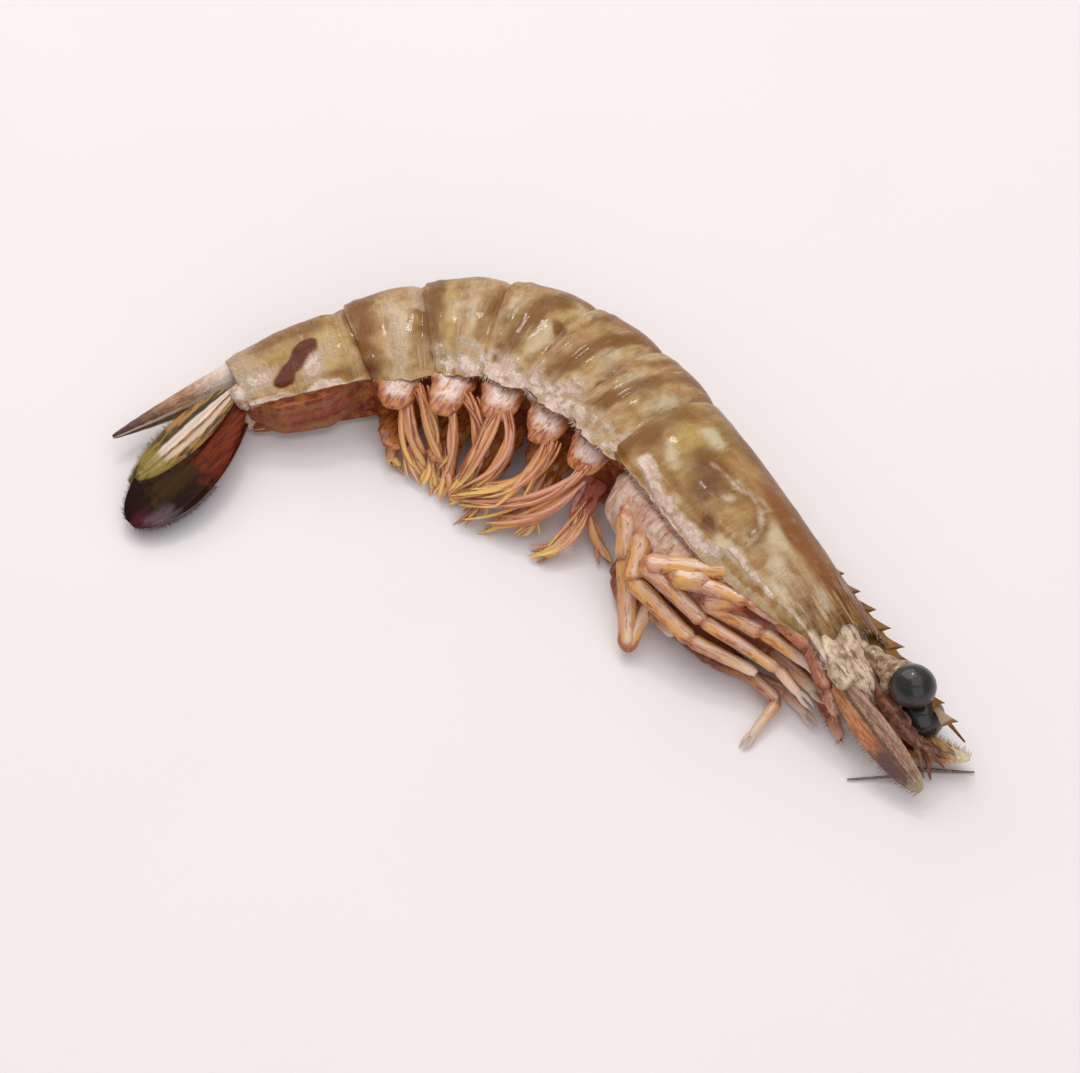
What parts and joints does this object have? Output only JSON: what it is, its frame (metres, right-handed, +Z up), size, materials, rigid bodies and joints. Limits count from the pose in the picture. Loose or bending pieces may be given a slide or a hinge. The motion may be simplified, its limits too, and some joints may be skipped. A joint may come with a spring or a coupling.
{
  "type": "raw shrimp",
  "caption": "Whole raw banded shrimp lying on its side, tail curled, with head shell, legs and tail fan.",
  "frame": {"origin": "middle of the floor under the shrimp, at the bottom centre of its bounding box", "axes": "+X from the tail fan to the head, +Y towards the back, +Z up from the floor it lies on"},
  "size_m": [0.1512, 0.0666, 0.0189],
  "materials": {
    "shell": "satin wet shell",
    "flesh": "moist flesh",
    "eye": "glossy",
    "feeler": "satin",
    "leg": "satin",
    "swimming_leg": "moist",
    "tail_fan": "wet shell"
  },
  "bodies": {
    "root": {"carapace": "shell", "segment_1": "shell", "segment_2": "shell", "segment_3": "shell", "segment_4": "shell", "segment_5": "shell", "segment_6": "shell", "thorax": "flesh", "head": "flesh", "eyestalk_right": "flesh", "eyestalk_left": "flesh", "antenna_base_right": "flesh", "antenna_base_left": "flesh", "eye_right": "eye", "eye_left": "eye", "antennal_scale_right": "feeler", "antennal_scale_left": "feeler", "antennule_right": "feeler", "antennule_left": "feeler", "leg_right_1": "leg", "leg_right_2": "leg", "leg_right_3": "leg", "leg_right_4": "leg", "leg_right_5": "leg", "leg_left_1": "leg", "leg_left_2": "leg", "leg_left_3": "leg", "leg_left_4": "leg", "leg_left_5": "leg", "maxilliped_right": "leg", "maxilliped_left": "leg", "pleopod_right_1": "swimming_leg", "pleopod_right_2": "swimming_leg", "pleopod_right_3": "swimming_leg", "pleopod_right_4": "swimming_leg", "pleopod_right_5": "swimming_leg", "pleopod_left_1": "swimming_leg", "pleopod_left_2": "swimming_leg", "pleopod_left_3": "swimming_leg", "pleopod_left_4": "swimming_leg", "pleopod_left_5": "swimming_leg", "telson": "tail_fan", "uropod_base_right": "tail_fan", "uropod_base_left": "tail_fan", "uropod_exopod_right": "tail_fan", "uropod_exopod_left": "tail_fan", "uropod_endopod_right": "tail_fan", "uropod_endopod_left": "tail_fan"}
  },
  "joints": []
}
